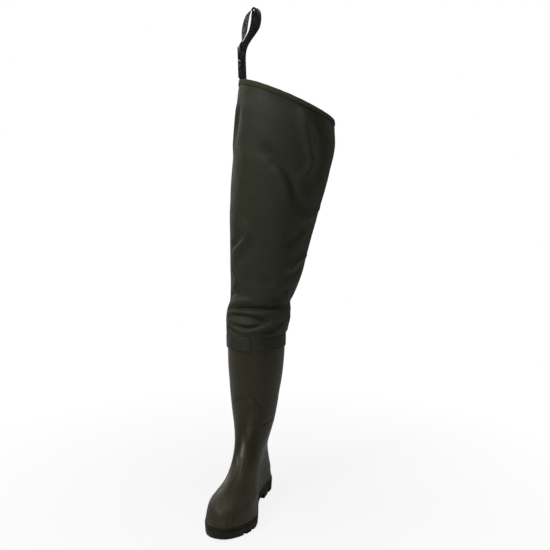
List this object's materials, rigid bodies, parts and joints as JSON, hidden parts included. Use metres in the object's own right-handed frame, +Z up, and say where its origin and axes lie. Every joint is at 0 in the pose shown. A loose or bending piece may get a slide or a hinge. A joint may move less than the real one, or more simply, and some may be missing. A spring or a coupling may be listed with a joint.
{
  "type": "hip wader",
  "caption": "Hip wader for the right leg: moulded boot with cleated sole, coated-fabric leg with a slanted bound top, belt strap and side-release buckle.",
  "frame": {"origin": "on the floor under the middle of the heel, on the face of the middle heel cleat", "axes": "+Z up, toe towards -Y, outer side of the foot towards -X"},
  "size_m": [0.2436, 0.382, 1.1081],
  "materials": {
    "boot_pvc": "olive PVC with a soft gloss",
    "sole_pvc": "dark PVC, matt",
    "footbed": "dark felt",
    "coated_fabric": "olive PVC-coated fabric, satin",
    "binding_tape": "olive-brown woven tape",
    "webbing": "black woven webbing",
    "buckle_plastic": "black moulded plastic"
  },
  "bodies": {
    "root": {"outsole": "sole_pvc", "boot": "boot_pvc", "insole": "footbed", "leg": "coated_fabric", "top_binding": "binding_tape", "strap_tab": "webbing", "belt_strap": "webbing", "buckle_female": "buckle_plastic", "buckle_male": "buckle_plastic"}
  },
  "joints": []
}
